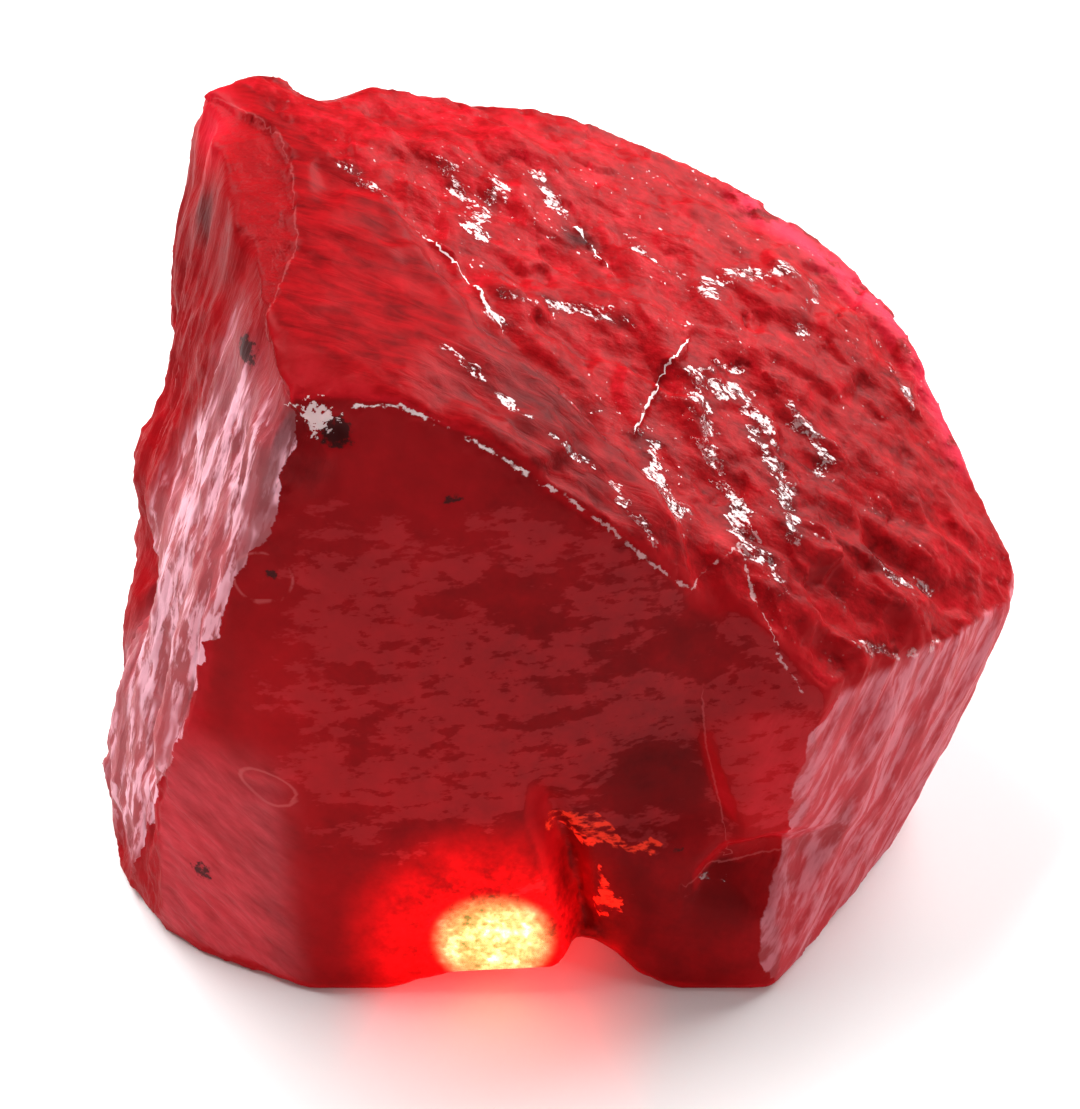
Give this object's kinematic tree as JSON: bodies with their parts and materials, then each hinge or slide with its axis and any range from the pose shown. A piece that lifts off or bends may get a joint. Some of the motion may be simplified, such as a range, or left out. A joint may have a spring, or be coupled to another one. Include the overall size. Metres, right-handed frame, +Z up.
{
  "type": "raw ruby crystal",
  "caption": "Rough block of translucent red corundum with a smooth front face, a hackly sloping top, ribbed sides and a flat base that it stands on.",
  "frame": {"origin": "middle of the underside of the stone's box, on the surface that it stands on", "axes": "+X to the right along the smooth front face, +Y from that face to the back, +Z up"},
  "size_m": [0.052, 0.0376, 0.0415],
  "materials": {
    "ruby": "natural fracture, glassy to satin, translucent red"
  },
  "bodies": {
    "root": {"ruby_crystal": "ruby"}
  },
  "joints": []
}
